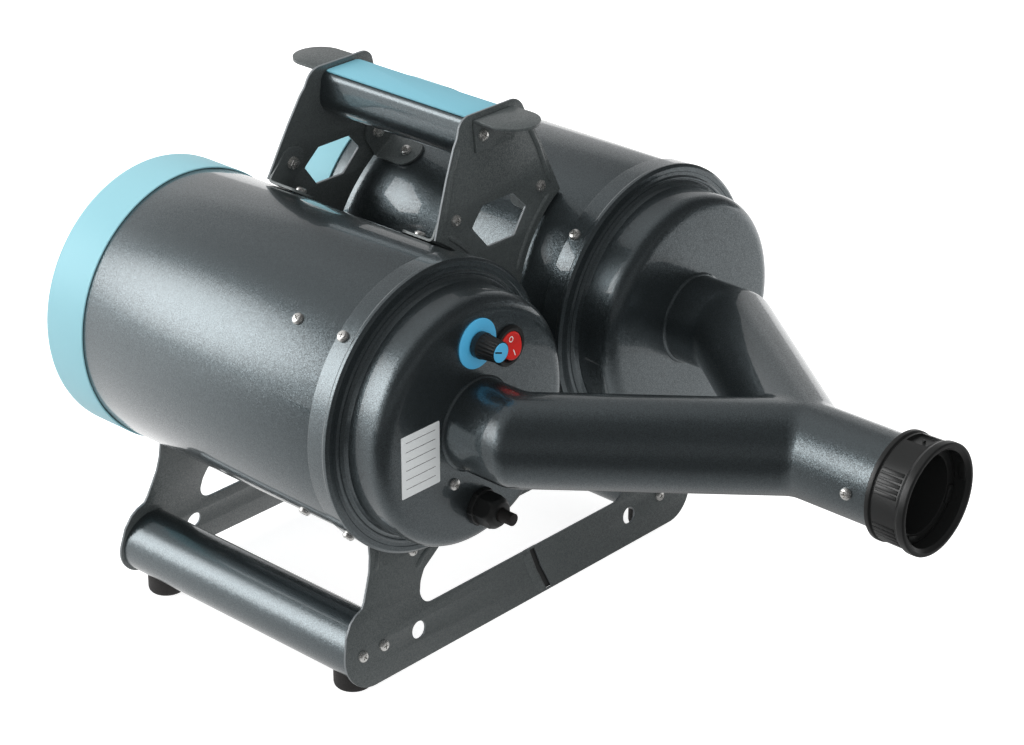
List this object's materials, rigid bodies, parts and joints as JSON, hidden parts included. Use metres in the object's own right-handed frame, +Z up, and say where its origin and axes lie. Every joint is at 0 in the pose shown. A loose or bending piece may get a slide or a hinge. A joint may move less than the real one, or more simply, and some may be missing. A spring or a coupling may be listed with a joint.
{
  "type": "pet dryer",
  "caption": "Twin-drum pet dryer in a carrying frame, with a forked air pipe and a hose coupling, speed knob and rocker switch.",
  "frame": {"origin": "on the floor plane under the feet, in the middle of the two drums and midway along the whole length, pipe included", "axes": "+Z up, -Y towards the hose coupling (front), X across the two drums, the drum with the controls at -X"},
  "size_m": [0.323, 0.454, 0.2837],
  "materials": {
    "body_paint": "glossy dark grey metallic paint",
    "frame_paint": "satin dark grey powder coat",
    "cap_blue": "glossy turquoise",
    "plate_blue": "satin light blue",
    "dial_blue": "satin sky blue",
    "red_plastic": "glossy red",
    "black_plastic": "satin black",
    "rubber": "matte black",
    "foam": "open foam",
    "foam_grey": "sound foam",
    "zinc": "zinc plated",
    "cast_alu": "as cast",
    "steel": "ground",
    "winding": "enamelled copper wire",
    "carbon": "pressed carbon",
    "green_board": "solder mask",
    "label_silver": "printed foil",
    "screw_steel": "bright nickel"
  },
  "bodies": {
    "base": {"shell_a": "body_paint", "shell_b": "body_paint", "cover_a": "body_paint", "cover_b": "body_paint", "liner_a": "foam_grey", "liner_b": "foam_grey", "bulkheads_a": "zinc", "bulkheads_b": "zinc", "rubber_a": "rubber", "rubber_b": "rubber", "motor_cup_a": "zinc", "motor_cup_b": "zinc", "fan_case_a": "cast_alu", "fan_case_b": "cast_alu", "stator_a": "winding", "stator_b": "winding", "bearings_a": "steel", "bearings_b": "steel", "brushes_a": "carbon", "brushes_b": "carbon", "manifold": "body_paint", "gaskets": "rubber", "coupling": "black_plastic", "coupling_ring": "black_plastic", "plate_front": "frame_paint", "plate_rear": "frame_paint", "tube_near": "body_paint", "tube_far": "body_paint", "plugs": "black_plastic", "feet": "rubber", "grip": "frame_paint", "name_plate": "plate_blue", "ear_front": "frame_paint", "ear_rear": "frame_paint", "dial": "dial_blue", "speed_pot": "zinc", "switch_body": "black_plastic", "label": "label_silver", "gland": "black_plastic", "gland_nut": "black_plastic", "gland_seal": "rubber", "cable_stub": "rubber", "board": "green_board", "board_parts": "zinc", "wiring": "winding", "conduit": "black_plastic", "screws_drums": "screw_steel", "screws_frame": "screw_steel", "screws_front": "screw_steel"},
    "knob": {"knob": "black_plastic", "knob_cap": "dial_blue"},
    "rocker": {"rocker": "red_plastic"},
    "rotor_a": {"rotor_a": "steel", "impeller_a": "cast_alu"},
    "rotor_b": {"rotor_b": "steel", "impeller_b": "cast_alu"},
    "cap_a": {"cap_a": "cap_blue", "filter_a": "foam"},
    "cap_b": {"cap_b": "cap_blue", "filter_b": "foam"}
  },
  "joints": [
    {"name": "knob_turn", "type": "hinge", "parent": "base", "child": "knob", "pos_m": [-0.0835, -0.029, 0.202], "axis": [0, 1, 0], "range_deg": [-60, 240]},
    {"name": "switch_rock", "type": "hinge", "parent": "base", "child": "rocker", "pos_m": [-0.06114, -0.011, 0.193], "axis": [1, 0, 0], "range_deg": [0, 18]},
    {"name": "rotor_a_spin", "type": "hinge", "parent": "base", "child": "rotor_a", "pos_m": [-0.084, 0.102, 0.1586], "axis": [0, 1, 0], "continuous": true},
    {"name": "rotor_b_spin", "type": "hinge", "parent": "base", "child": "rotor_b", "pos_m": [0.084, 0.102, 0.1586], "axis": [0, 1, 0], "continuous": true},
    {"name": "cap_a_pull", "type": "slide", "parent": "base", "child": "cap_a", "axis": [0, 1, 0], "range_m": [0, 0.03]},
    {"name": "cap_b_pull", "type": "slide", "parent": "base", "child": "cap_b", "axis": [0, 1, 0], "range_m": [0, 0.03]}
  ]
}
